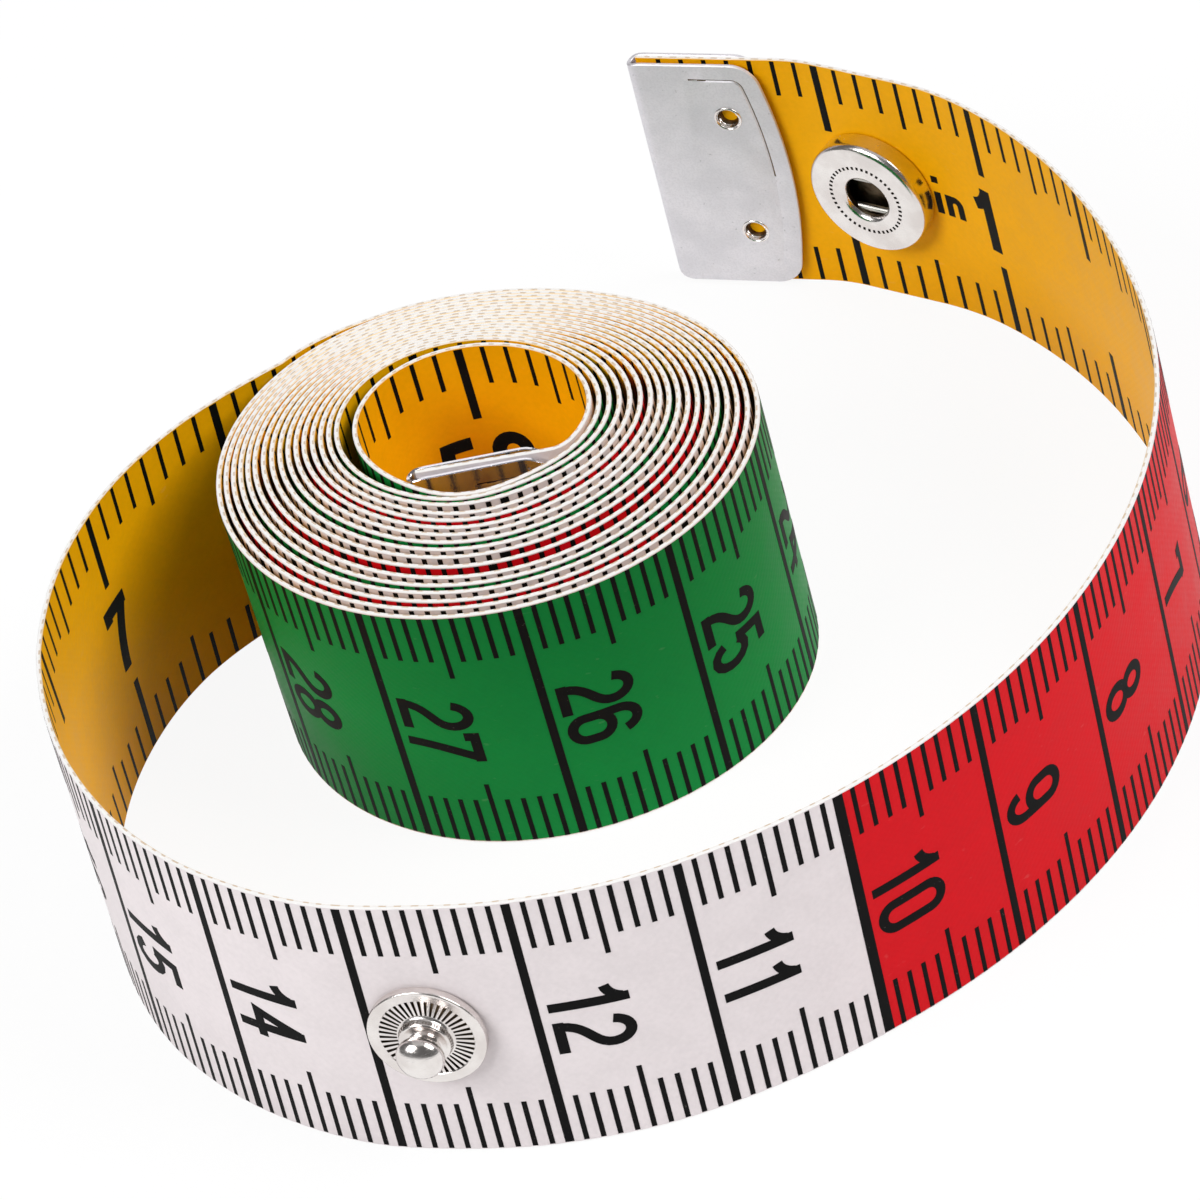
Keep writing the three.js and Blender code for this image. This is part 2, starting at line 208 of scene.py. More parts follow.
def wound_route(x, y):
    """Places on the coil, from the end of the free route to the innermost turn's end."""
    away = np.array((x, y)) - COIL_MIDDLE
    start = math.degrees(math.atan2(away[1], away[0]))
    angle = np.linspace(start, COIL_START - 360 * COIL_TURNS, math.ceil(360 * COIL_TURNS))
    turn = (COIL_START - angle) / 360
    theta = np.radians(angle)
    stages = np.linspace(0, COIL_TURNS, len(WINDING))
    radius, *waves = (np.interp(turn, stages, column) for column in zip(*WINDING))
    for number in (1, 2, 3):
        cosine, sine = waves[2 * number - 2:2 * number]
        radius = radius + cosine * np.cos(number * theta) + sine * np.sin(number * theta)
    front_turns = np.arange(len(LOOSE_TURNS)) + (COIL_START - FRONT) / 360
    facing = np.clip(np.cos(theta - math.radians(FRONT)), 0, None) ** 2
    radius += np.interp(turn, front_turns, LOOSE_TURNS) * facing
    slack_share = np.clip((turn - SLACK_TURNS[0]) / (SLACK_TURNS[1] - SLACK_TURNS[0]), 0, 1)
    radius -= SLACK * np.sin(np.pi * slack_share) ** 2
    joined = smooth_share(start - angle, 0, JOINING_ANGLE)
    radius += (np.linalg.norm(away) - radius[0]) * (1 - joined)
    x, y = COIL_MIDDLE
    return [(x + r * math.cos(a), y + r * math.sin(a)) for r, a in zip(radius[1:], theta[1:])]


def route_headings(runs, x, y):
    return np.unwrap(np.arctan2(np.gradient(y, runs), np.gradient(x, runs)))


def whole_route():
    """Rows of run, x, y and heading along the whole tape, from its outer end to its inner end."""
    heading = math.radians(END_HEADING)
    places = [TAPE_END] + bent_route(*TAPE_END, heading, FREE_BENDS)
    places += wound_route(*places[-1])
    heading = math.atan2(places[-1][1] - places[-2][1], places[-1][0] - places[-2][0])
    turn = math.degrees(heading) - INNER_CLIP_HEADING
    inner_bends = ((INNER_BEND, turn), (INNER_CLIP_REACH, 0))
    places += bent_route(*places[-1], heading, inner_bends)
    x, y = np.array(places).T
    runs = np.concatenate(([0.0], np.cumsum(np.hypot(np.diff(x), np.diff(y)))))
    headings = route_headings(runs, x, y)
    from_bulge = np.clip((runs - BULGE_RUN) / BULGE_REACH, -1, 1)
    bulge = BULGE_OUT * np.cos(from_bulge * math.pi / 2) ** 2
    x, y = x - bulge * np.sin(headings), y + bulge * np.cos(headings)
    return np.stack((runs, x, y, route_headings(runs, x, y)), axis=1)


ROUTE = whole_route()
TAPE_LENGTH = float(ROUTE[-1, 0])


def route_at(run):
    """The route's place and heading at a run, and how far the lower edge stands out there."""
    x, y, heading = (np.interp(run, ROUTE[:, 0], ROUTE[:, column]) for column in (1, 2, 3))
    coiled = smooth_share(run, *COILING_RUNS)
    out = np.interp(run, LEAN_RUNS, LEAN) * (1 - coiled)
    lean_x = COIL_LEAN_X * coiled - np.sin(heading) * out
    lean_y = np.interp(run, COIL_LEAN_RUNS, COIL_LEAN_Y) * coiled + np.cos(heading) * out
    return x, y, heading, lean_x, lean_y


def on_tape(run, height, lift):
    """Points in metres at a run and a height, lifted from the tape's middle to its outer side."""
    x, y, heading, lean_x, lean_y = route_at(run)
    down = 0.5 - height / TAPE_WIDTH
    x = x - lift * np.sin(heading) + lean_x * down
    y = y + lift * np.cos(heading) + lean_y * down
    return np.stack(np.broadcast_arrays(x, y, height), axis=-1) * MM


def tape_frame(run, height, turned=0.0):
    """The place of a piece whose x runs along the tape and whose y comes out of its outer side."""
    _, _, heading, lean_x, lean_y = (float(value) for value in route_at(run))
    up = Vector((-lean_x / TAPE_WIDTH, -lean_y / TAPE_WIDTH, 1)).normalized()
    out = up.cross(Vector((math.cos(heading), math.sin(heading), 0))).normalized()
    axes = Matrix((out.cross(up), out, up)).transposed().to_4x4()
    return Matrix.Translation(on_tape(run, height, 0.0)) @ axes @ Matrix.Rotation(turned, 4, "Z")


# Finishes

# Millimetres to one unit of the tape's map.
MAP_UNIT = 100
WARP_PITCH, WEFT_PITCH = 0.56, 0.5
YARN_SPACING = 0.95


class Wire:
    """One output in a node tree. A sum with it adds a Math node."""

    def __init__(self, tree, socket):
        self.tree, self.socket = tree, socket

    def math(self, operation, *values):
        sockets = dict(enumerate(values))
        return add_node(self.tree, "ShaderNodeMath", {"operation": operation}, sockets)

    def __add__(self, other):
        return self.math("ADD", self, other)

    def __sub__(self, other):
        return self.math("SUBTRACT", self, other)

    def __rsub__(self, other):
        return self.math("SUBTRACT", other, self)

    def __mul__(self, other):
        return self.math("MULTIPLY", self, other)

    __radd__ = __add__

    def between(self, low, high):
        """0 below low, 1 above high and smooth in between."""
        ends = {"From Min": low, "From Max": high, "Value": self}
        return add_node(self.tree, "ShaderNodeMapRange", {"interpolation_type": "SMOOTHSTEP"}, ends)


def add_node(tree, kind, settings=None, sockets=None, output=0):
    """A new node with its settings and its sockets' values or links, as one output's wire."""
    node = tree.nodes.new(kind)
    for key, value in (settings or {}).items():
        setattr(node, key, value)
    for key, value in (sockets or {}).items():
        if isinstance(value, Wire):
            tree.links.new(value.socket, node.inputs[key])
        else:
            node.inputs[key].default_value = value
    return Wire(tree, node.outputs[output])


class Finish:
    """A material with an empty node tree, and the nodes that the finishes share."""

    def __init__(self, name):
        self.material = bpy.data.materials.new(name)
        self.material.use_nodes = True
        self.tree = self.material.node_tree
        self.tree.nodes.clear()

    def node(self, kind, settings=None, sockets=None, output=0):
        return add_node(self.tree, kind, settings, sockets, output)

    def place(self):
        return self.node("ShaderNodeTexCoord", output="Object")

    def along_tape(self):
        """Millimetres along the tape, and the second number of its map."""
        flat = self.node("ShaderNodeUVMap", {"uv_map": "tape"})
        parts = [self.node("ShaderNodeSeparateXYZ", None, {0: flat}, output) for output in (0, 1)]
        return parts[0] * MAP_UNIT, parts[1] * MAP_UNIT

    def point(self, x, y):
        return self.node("ShaderNodeCombineXYZ", None, {0: x, 1: y})

    def stretched(self, place, scale):
        return self.node("ShaderNodeMapping", None, {0: place, "Scale": scale})

    def noise(self, place, scale, detail=2.0):
        sockets = {"Vector": place, "Scale": scale, "Detail": detail}
        return self.node("ShaderNodeTexNoise", None, sockets)

    def mix(self, share, a, b):
        settings = {"data_type": "RGBA", "blend_type": "MIX"}
        return self.node("ShaderNodeMix", settings, {0: share, 6: a, 7: b}, 2)

    def bump(self, height, depth):
        """A normal from a height that goes from 0 to 1 over a depth in millimetres."""
        sockets = {"Strength": 1.0, "Distance": depth * MM, "Height": height}
        return self.node("ShaderNodeBump", None, sockets)

    def surface(self, **sockets):
        """Ends the tree with a Principled shader; names have _ for a space."""
        named = {key.replace("_", " "): value for key, value in sockets.items()}
        shader = self.node("ShaderNodeBsdfPrincipled", None, named)
        self.node_out(shader)
        return self.material

    def node_out(self, shader):
        out = self.tree.nodes.new("ShaderNodeOutputMaterial")
        self.tree.links.new(shader.socket, out.inputs["Surface"])


def shade(colour, factor):
    return tuple(min(1.0, channel * factor) for channel in colour) + (1.0,)


def coated_face(name, colour):
    """A smooth coating over a plain weave: mottling, threads that show through, small scuffs."""
    finish = Finish(name)
    run, height = finish.along_tape()
    flat = finish.point(run, height)
    warp = run.math("SINE", run * (2 * math.pi / WARP_PITCH))
    weft = height.math("SINE", height * (2 * math.pi / WEFT_PITCH))
    weave = warp * weft * 0.5 + 0.5
    cloud = finish.noise(flat, 0.35, 3.0)
    grain = finish.noise(flat, 2.6, 2.0)
    tone = (cloud * 0.55 + grain * 0.45).between(0.3, 0.7)
    base = finish.mix(tone, shade(colour, 0.955), shade(colour, 1.035))
    base = finish.mix(weave * 0.05, base, shade(colour, 1.2))
    scuffs = finish.noise(finish.point(run * 0.5, height), 1.7, 4.0).between(0.66, 0.76)
    base = finish.mix(scuffs * 0.04, base, (0.8, 0.78, 0.76, 1))
    relief = weave * 0.45 + grain * 0.4 + cloud * 0.5
    return finish.surface(
        Base_Color=base,
        Roughness=0.42 + tone * 0.1 - weave * 0.04,
        Normal=finish.bump(relief, 0.012),
        Specular_IOR_Level=0.07,
    )


def cut_edge():
    """The slit edge: white coating about a tan woven core, and a yellow line on the inner side.

    The map's second number is here the share of the tape's thickness from the inner side.
    """
    finish = Finish("cut_edge")
    run, across = finish.along_tape()
    across = across * (1 / MAP_UNIT)
    core = across.between(0.1, 0.22) * (1 - across.between(0.42, 0.56))
    wander = finish.noise(finish.point(run * 0.7, 0.0), 1.0, 2.0) * 5
    yarn = run.math("SINE", run * (2 * math.pi / YARN_SPACING) + wander).between(-0.1, 0.6)
    fuzz = finish.noise(finish.point(run * 6, across * 4), 1.0, 2.0)
    base = finish.mix(fuzz, (0.74, 0.725, 0.715, 1), (0.84, 0.83, 0.815, 1))
    base = finish.mix(core * (yarn * 0.6 + 0.08), base, (0.5, 0.33, 0.17, 1))
    rubbed_off = finish.noise(finish.point(run * 0.4, 0.0), 1.0, 2.0).between(0.42, 0.6)
    inner_line = (1 - across.between(0.1, 0.24)) * (0.2 + rubbed_off * 0.35)
    base = finish.mix(inner_line, base, (0.84, 0.5, 0.06, 1))
    return finish.surface(
        Base_Color=base,
        Roughness=0.55 + yarn * 0.15,
        Normal=finish.bump(fuzz * 0.5 + yarn * core * 0.5, 0.03),
        Specular_IOR_Level=0.2,
    )


def printing_ink():
    """Black ink with pinholes where the weave's high threads took none."""
    finish = Finish("printing_ink")
    place = finish.place()
    pinholes = finish.noise(place, 5200, 2.0).between(0.7, 0.76)
    tone = finish.noise(place, 900, 2.0)
    base = finish.mix(tone, (0.003, 0.003, 0.0033, 1), (0.008, 0.0076, 0.0076, 1))
    base = finish.mix(pinholes * 0.3, base, (0.15, 0.14, 0.13, 1))
    return finish.surface(
        Base_Color=base,
        Roughness=0.45 + tone * 0.12,
        Normal=finish.bump(tone, 0.006),
        Specular_IOR_Level=0.05,
    )


def plated_sheet(name, metallic, roughness):
    """The clips: plated sheet with a fine frosted grain, small dark pits and rubbed high spots."""
    finish = Finish(name)
    place = finish.place()
    frost = finish.noise(place, 7000, 2.0)
    cloud = finish.noise(place, 420, 3.0)
    pits = finish.noise(place, 2600, 3.0).between(0.68, 0.74)
    base = finish.mix(cloud.between(0.3, 0.7), (0.72, 0.7, 0.735, 1), (0.8, 0.775, 0.81, 1))
    base = finish.mix(frost.between(0.35, 0.75) * 0.3, base, (0.6, 0.58, 0.61, 1))
    base = finish.mix(pits * 0.4, base, (0.36, 0.35, 0.37, 1))
    return finish.surface(
        Base_Color=base,
        Metallic=metallic - pits * 0.2,
        Roughness=roughness + frost * 0.12 + pits * 0.15,
        Normal=finish.bump(frost * 0.6 + cloud * 0.2 - pits * 0.5, 0.01),
    )


def bright_nickel():
    """The press stud and the rivets: bright plate, a little warm, with hairline wear."""
    finish = Finish("bright_nickel")
    place = finish.place()
    cloud = finish.noise(place, 500, 3.0)
    hairlines = finish.noise(finish.stretched(place, (1.0, 1.0, 9.0)), 2400)
    base = finish.mix(cloud.between(0.35, 0.7), (0.74, 0.69, 0.665, 1), (0.86, 0.82, 0.795, 1))
    return finish.surface(
        Base_Color=base,
        Metallic=1.0,
        Roughness=0.13 + cloud * 0.1 + hairlines.between(0.5, 0.75) * 0.1,
        Normal=finish.bump(cloud * 0.5 + hairlines * 0.3, 0.012),
    )


def dull_inside():
    """Painted shade for hollows in the press stud, rivets and clips: mottled dark plate."""
    finish = Finish("dull_inside")
    place = finish.place()
    shade_mottle = finish.noise(place, 1300, 3.0)
    base = finish.mix(shade_mottle.between(0.35, 0.7), (0.09, 0.06, 0.035, 1), (0.2, 0.15, 0.1, 1))
    return finish.surface(
        Base_Color=base,
        Metallic=1.0,
        Roughness=0.3 + shade_mottle * 0.2,
        Normal=finish.bump(shade_mottle, 0.01),
    )


def spring_steel():
    """The socket's wire: drawn steel, with lines along it."""
    finish = Finish("spring_steel")
    place = finish.place()
    drawn = finish.noise(finish.stretched(place, (0.15, 0.15, 1.0)), 9000)
    base = finish.mix(drawn, (0.42, 0.4, 0.37, 1), (0.66, 0.64, 0.6, 1))
    return finish.surface(
        Base_Color=base,
        Metallic=1.0,
        Roughness=0.22 + drawn * 0.15,
        Normal=finish.bump(drawn, 0.006),
    )


WHITE = (0.75, 0.69, 0.7)
RED = (0.63, 0.005, 0.011)
GREEN = (0.003, 0.225, 0.045)
YELLOW = (0.97, 0.445, 0.001)

finishes = {
    "white": coated_face("white_coating", WHITE),
    "red": coated_face("red_coating", RED),
    "green": coated_face("green_coating", GREEN),
    "yellow": coated_face("yellow_coating", YELLOW),
    "edge": cut_edge(),
}
ink = printing_ink()
plate = plated_sheet("matt_plate", 0.8, 0.46)
rubbed = plated_sheet("rubbed_plate", 0.96, 0.12)
nickel = bright_nickel()
# The dark finish that paints shade into hollows.
recess_shade = dull_inside()
steel = spring_steel()


# The tape

# Corners of the tape's section: how far towards the outer side, how high, and the finish of the
# side that starts there.
TAPE_SECTION = (
    (HALF, EDGE_ROUND, "white"),
    (HALF, BARE_MARGIN, "scale"),
    (HALF, TAPE_WIDTH - BARE_MARGIN, "white"),
    (HALF, TAPE_WIDTH - EDGE_ROUND, "edge"),
    (HALF - EDGE_ROUND, TAPE_WIDTH, "edge"),
    (EDGE_ROUND - HALF, TAPE_WIDTH, "edge"),
    (-HALF, TAPE_WIDTH - EDGE_ROUND, "yellow"),
    (-HALF, EDGE_ROUND, "edge"),
    (EDGE_ROUND - HALF, 0, "edge"),
    (HALF - EDGE_ROUND, 0, "edge"),
)
FREE_STEP, COIL_STEP, END_STEP, LEAST_STEP = 0.5, 0.6, 0.3, 0.15
INNER_END_RUN = 16


def runs_between(first, last):
    """Where the tape's mesh has its cross lines, with one at each change of colour."""
    if last < TAPE_LENGTH:
        runs = np.linspace(first, last, round((last - first) / FREE_STEP) + 1)
    else:
        turn = TAPE_LENGTH - INNER_END_RUN
        runs = np.concatenate((
            np.linspace(first, turn, round((turn - first) / COIL_STEP) + 1),
            np.linspace(turn, last, round(INNER_END_RUN / END_STEP) + 1),
        ))
    changes = np.arange(math.ceil(first / DECADE), math.floor(last / DECADE) + 1) * DECADE
    runs = np.unique(np.concatenate((runs, changes)))
    near_change = np.min(np.abs(runs[:, None] - np.append(changes, -1.0)[None, :]), axis=1)
    keep = (near_change < 1e-9) | (near_change > LEAST_STEP)
    keep[0] = keep[-1] = True
    return runs[keep]


def tape_strip(name, first, last):
    """A closed strip of tape with its map along the run, finished by side and by decade."""
    runs = runs_between(first, last)
    lifts, heights = (np.array([corner[i] for corner in TAPE_SECTION], float) for i in (0, 1))
    through = (lifts + HALF) / TAPE_THICKNESS
    corners = len(TAPE_SECTION)
    points = on_tape(runs[:, None], heights[None, :], lifts[None, :]).reshape(-1, 3)
    faces, kinds, flats = [], [], []
    names = list(finishes)
    for row in range(len(runs) - 1):
        decade = DECADE_COLOURS[int((runs[row] + runs[row + 1]) / 2 / DECADE)]
        for side, (_, _, kind) in enumerate(TAPE_SECTION):
            after = (side + 1) % corners
            here, there = row * corners, (row + 1) * corners
            faces.append((here + side, here + after, there + after, there + side))
            kinds.append(names.index(decade if kind == "scale" else kind))
            across = through if kind == "edge" else heights / MAP_UNIT
            begin, end = runs[row] / MAP_UNIT, runs[row + 1] / MAP_UNIT
            flats += [(begin, across[side]), (begin, across[after])]
            flats += [(end, across[after]), (end, across[side])]
    last_row = (len(runs) - 1) * corners
    for ring in (range(corners - 1, -1, -1), range(last_row, last_row + corners)):
        faces.append(tuple(ring))
        kinds.append(names.index("edge"))
        run = runs[ring[0] // corners] / MAP_UNIT
        flats += [(run, through[corner % corners]) for corner in ring]
    mesh = bpy.data.meshes.new(name)
    mesh.from_pydata([tuple(point) for point in points], [], faces)
    for finish in finishes.values():
        mesh.materials.append(finish)
    mesh.polygons.foreach_set("material_index", kinds)
    mesh.uv_layers.new(name="tape").data.foreach_set("uv", np.array(flats, float).ravel())
    mesh.update()
    return add_piece(name, mesh)


def add_piece(name, mesh):
    piece = bpy.data.objects.new(name, mesh)
    bpy.context.collection.objects.link(piece)
    smooth(piece, TAPE_SMOOTH)
    return piece


# Print

def arc(x, y, across, up, start, end, steps=12):
    """Points of an ellipse's arc, from a start angle to an end angle."""
    angles = np.radians(np.linspace(start, end, steps + 1))
    return [(x + across * math.cos(angle), y + up * math.sin(angle)) for angle in angles]


def curve(a, b, c, d, steps=10):
    """Points of a curve from a to d that sets out towards b and comes in from c."""
    done = np.linspace(0, 1, steps + 1)[:, None]
    left = 1 - done
    a, b, c, d = (np.array(point, float) for point in (a, b, c, d))
    line = left ** 3 * a + 3 * left ** 2 * done * b + 3 * left * done ** 2 * c + done ** 3 * d
    return [tuple(point) for point in line]


def bowl(w, h):
    """A closed path with straight sides and round ends."""
    r = w / 2
    return arc(r, h - r, r, r, 0, 180) + arc(r, r, r, r, 180, 360)


def figure_strokes(figure, width, height, pen):
    """The pen's paths for one figure in a box from 0, 0: their points, and whether they close."""
    w, h, tip = width - pen, height - pen, pen / 2
    if figure == "0":
        paths = [(bowl(w, h), True)]
    elif figure == "1":
        low, high = (0.02 * w, 0.76 * h), (0.6 * w, 0.98 * h)
        flag = curve(low, (0.3 * w, 0.78 * h), (0.5 * w, 0.86 * h), high, 6)
        paths = [([(0.64 * w, -tip), (0.64 * w, h + tip)], False), (flag, False)]
    elif figure == "2":
        hook = arc(w / 2, 0.73 * h, w / 2, 0.27 * h, 170, 0)
        slope = curve((w, 0.73 * h), (w, 0.42 * h), (0.06 * w, 0.42 * h), (0.02 * w, 0.02 * h))
        paths = [(hook + slope[1:], False), ([(-tip, 0), (w + tip, 0)], False)]
    elif figure == "3":
        upper = arc(w / 2, 0.765 * h, 0.47 * w, 0.235 * h, 165, -90)
        lower = arc(w / 2, 0.265 * h, w / 2, 0.265 * h, 90, -165)
        bar = [(0.3 * w, 0.53 * h), (0.55 * w, 0.53 * h)]
        paths = [(upper, False), (lower, False), (bar, False)]
    elif figure == "4":
        paths = [
            ([(0.68 * w, h), (0, 0.3 * h), (w + tip, 0.3 * h)], False),
            ([(0.72 * w, -tip), (0.72 * w, h + 0.9 * tip)], False),
        ]
    elif figure == "5":
        paths = [
            ([(w, h), (0.1 * w, h), (0.02 * w, 0.48 * h)], False),
            (arc(w / 2, 0.31 * h, w / 2, 0.31 * h, 142, -160), False),
        ]
    elif figure in "69":
        stem = [(0, 0.3 * h)] + arc(w / 2, 0.73 * h, w / 2, 0.27 * h, 180, 14)
        paths = [(bowl(w, 0.6 * h), True), (stem, False)]
        if figure == "9":
            paths = [([(w - x, h - y) for x, y in points], closed) for points, closed in paths]
    elif figure == "7":
        leg = curve((w, h), (0.6 * w, 0.6 * h), (0.36 * w, 0.3 * h), (0.32 * w, -tip))
        paths = [([(0, 0.84 * h), (0, h), (w + tip, h)], False), (leg, False)]
    elif figure == "8":
        upper = arc(w / 2, 0.765 * h, 0.45 * w, 0.235 * h, 0, 360, 22)[:-1]
        lower = arc(w / 2, 0.265 * h, w / 2, 0.265 * h, 0, 360, 24)[:-1]
        paths = [(upper, True), (lower, True)]
    elif figure == "i":
        dot = 1.28 * height
        paths = [([(0, -tip), (0, h + tip)], False), ([(0, dot), (0, dot + pen)], False)]
    else:
        arch = arc(w / 2, h - 0.5 * w, w / 2, 0.5 * w, 160, 0)
        paths = [([(0, -tip), (0, h + tip)], False), (arch + [(w, -tip)], False)]
    return [([(x + tip, y + tip) for x, y in points], closed) for points, closed in paths]


def fine_path(points, closed):
    """The path with no step longer than the print's, so that it follows the tape's bend."""
    points = [np.array(point, float) for point in points]
    ends = zip(points, points[1:] + points[:1]) if closed else zip(points, points[1:])
    fine = []
    for a, b in ends:
        count = max(1, math.ceil(np.linalg.norm(b - a) / STROKE_STEP))
        fine += [a + (b - a) * i / count for i in range(count)]
    return np.array(fine if closed else fine + [points[-1]])


def pen_sides(points, closed, pen):
    """The two sides of a stroke of the pen's width along a path."""
    ahead = np.roll(points, -1, axis=0) - points
    if not closed:
        ahead[-1] = ahead[-2]
    ahead /= np.linalg.norm(ahead, axis=1)[:, None]
    behind = np.roll(ahead, 1, axis=0)
    if not closed:
        behind[0] = ahead[0]
    mean = ahead + behind
    mean /= np.linalg.norm(mean, axis=1)[:, None]
    reach = pen / 2 / np.clip(np.sum(mean * ahead, axis=1), 0.5, 1)
    out = np.stack((-mean[:, 1], mean[:, 0]), axis=1) * reach[:, None]
    return points + out, points - out


def columns(*values):
    return np.stack(values, axis=1)


class Print:
    """A thin film of ink on one piece of tape, gathered stroke by stroke."""

    def __init__(self, first, last):
        self.first, self.last = first, last
        self.points, self.faces = [], []

    def holds(self, run):
        return self.first <= run < self.last

    def stroke(self, left, right, face, closed=False):
        """A film between two sides given as runs and heights; face is 1 outside and -1 inside."""
        above, below = face * (HALF + INK_LIFT), face * (HALF - INK_SINK)
        layers = [(left, above), (right, above), (right, below), (left, below)]
        rings = columns(*(on_tape(side[:, 0], side[:, 1], lift) for side, lift in layers))
        start, count = len(self.points), len(left)
        self.points += [tuple(point) for point in rings.reshape(-1, 3)]
        for row in range(count if closed else count - 1):
            here, there = start + 4 * row, start + 4 * ((row + 1) % count)
            for i, after in ((0, 1), (1, 2), (2, 3), (3, 0)):
                self.faces.append((here + i, here + after, there + after, there + i))
        if not closed:
            last = start + 4 * (count - 1)
            self.faces.append((start, start + 3, start + 2, start + 1))
            self.faces.append((last, last + 1, last + 2, last + 3))

    def tick(self, run, low, high, pen, face):
        heights = np.array([low, high])
        left, right = (np.full(2, run + side * pen / 2) for side in (-1, 1))
        self.stroke(columns(left, heights), columns(right, heights), face)

    def edge_ticks(self, run, reach, pen, face):
        """A tick in from each edge of the tape."""
        self.tick(run, PRINT_LOW, PRINT_LOW + reach, pen, face)
        self.tick(run, PRINT_HIGH - reach, PRINT_HIGH, pen, face)

    def figures(self, text, shape, place, face):
        """Writes figures; place turns points of the text's centred box to runs and heights."""
        width = shape["advance"] * (len(text) - 1) + shape["width"]
        size = {key: shape[key] for key in ("width", "height", "pen")}
        for number, figure in enumerate(text):
            for points, closed in figure_strokes(figure, **size):
                path = fine_path(points, closed) + (number * shape["advance"] - width / 2, 0)
                left, right = pen_sides(path, closed, shape["pen"])
                self.stroke(place(left), place(right), face, closed)

    def centimetres(self):
        """The outer scale: figures lie across the tape, with their feet on their own line."""
        for mark in range(1, LAST_MILLIMETRE + 1):
            if not self.holds(mark):
                continue
            if mark % 10 == 0:
                pen = CM_LINE_PEN if mark % DECADE else DECADE_LINE_PEN
                self.tick(mark, PRINT_LOW, PRINT_HIGH, pen, 1)
            else:
                self.edge_ticks(mark, HALF_CM_TICK if mark % 5 == 0 else MM_TICK, TICK_PEN, 1)
        for number in range(1, LAST_MILLIMETRE // 10 + 1):
            foot = number * 10 - CM_FIGURE_BASE
            if self.holds(foot):
                self.figures(
                    str(number), CM_FIGURE,
                    lambda at, foot=foot: columns(foot - at[:, 1], MID_HEIGHT - at[:, 0]), 1,
                )

    def inches(self):
        """The inner scale: figures stand upright on the middle of their own line."""
        for mark in range(1, SIXTEENTHS + 1):
            run = mark * SIXTEENTH
            if not self.holds(run):
                continue
            reach, pen = SHORT_INCH_TICK, TICK_PEN
            if mark % 8 == 0:
                reach, pen = LONG_INCH_TICK, LONG_INCH_PEN
            elif mark % 4 == 0:
                reach = QUARTER_INCH_TICK
            self.edge_ticks(run, reach, pen, -1)
        base = MID_HEIGHT - INCH_FIGURE["height"] / 2
        for number in range(1, SIXTEENTHS // 16 + 1):
            middle = number * INCH
            if number == 1:
                middle += LONE_ONE_SHIFT
            if self.holds(middle):
                self.upright(str(number), INCH_FIGURE, middle, base)
        if self.holds(UNIT_MARK_RUN):
            for letter, ahead, width in UNIT_LETTERS:
                shape = {"width": width, **UNIT_FIGURE}
                self.upright(letter, shape, UNIT_MARK_RUN + ahead, UNIT_MARK_BASE)

    def upright(self, text, shape, middle, base):
        self.figures(text, shape, lambda at: columns(middle + at[:, 0], base + at[:, 1]), -1)

    def piece(self, name):
        mesh = bpy.data.meshes.new(name)
        mesh.from_pydata(self.points, [], self.faces)
        mesh.materials.append(ink)
        film = bmesh.new()
        film.from_mesh(mesh)
        bmesh.ops.recalc_face_normals(film, faces=film.faces)
        film.to_mesh(mesh)
        film.free()
        return add_piece(name, mesh)


# Modelling by hand

def deselect():
    if bpy.context.object and bpy.context.object.mode != "OBJECT":
        bpy.ops.object.mode_set(mode="OBJECT")
    bpy.ops.object.select_all(action="DESELECT")


def choose(piece):
    deselect()
    piece.select_set(True)
    bpy.context.view_layer.objects.active = piece


def smooth(piece, angle):
    choose(piece)
    bpy.ops.object.shade_smooth_by_angle(angle=math.radians(angle))


def metres(*point):
    return tuple(value * MM for value in point)


def move(*step):
    bpy.ops.transform.translate(value=metres(*step))


def start_point(name, point):
    """A new piece that is one point so far, in edit mode with the point selected."""
    deselect()
    bpy.ops.mesh.primitive_plane_add(size=MM)
    piece = bpy.context.object
    piece.name = piece.data.name = name
    bpy.ops.object.mode_set(mode="EDIT")
    bpy.ops.mesh.select_mode(type="VERT")
    bpy.ops.mesh.select_all(action="SELECT")
    bpy.ops.mesh.merge(type="CENTER")
    move(*point)
    return piece


def extrude(*step):
    bpy.ops.mesh.extrude_region_move(TRANSFORM_OT_translate={"value": metres(*step)})


def select(piece, kind, chosen):
    """Selects the points, edges or faces whose middle, in millimetres, passes the test."""
    bpy.ops.mesh.select_mode(type=kind)
    bpy.ops.mesh.select_all(action="DESELECT")
    mesh = bmesh.from_edit_mesh(piece.data)
    parts = {"VERT": mesh.verts, "EDGE": mesh.edges, "FACE": mesh.faces}[kind]
    for part in parts:
        corners = [part] if kind == "VERT" else part.verts
        if chosen(sum((corner.co for corner in corners), Vector()) / len(corners) / MM):
            part.select_set(True)
    mesh.select_flush_mode()
    bmesh.update_edit_mesh(piece.data)


def give_finishes(piece, *given):
    """The first finish covers the piece, and faces that are painted take the second."""
    for finish in given:
        piece.data.materials.append(finish)


def paint(piece, chosen):
    select(piece, "FACE", chosen)
    piece.active_material_index = 1
    bpy.ops.object.material_slot_assign()


MERGE_REACH = 0.0005


def close_up():
    """Merges doubled points and turns every face outwards."""
    bpy.ops.mesh.select_all(action="SELECT")
    bpy.ops.mesh.remove_doubles(threshold=MERGE_REACH * MM)
    bpy.ops.mesh.normals_make_consistent(inside=False)


def apply_modifier(piece, kind, **settings):
    choose(piece)
    modifier = piece.modifiers.new(kind.lower(), kind)
    for key, value in settings.items():
        setattr(modifier, key, value)
    bpy.ops.object.modifier_apply(modifier=modifier.name)


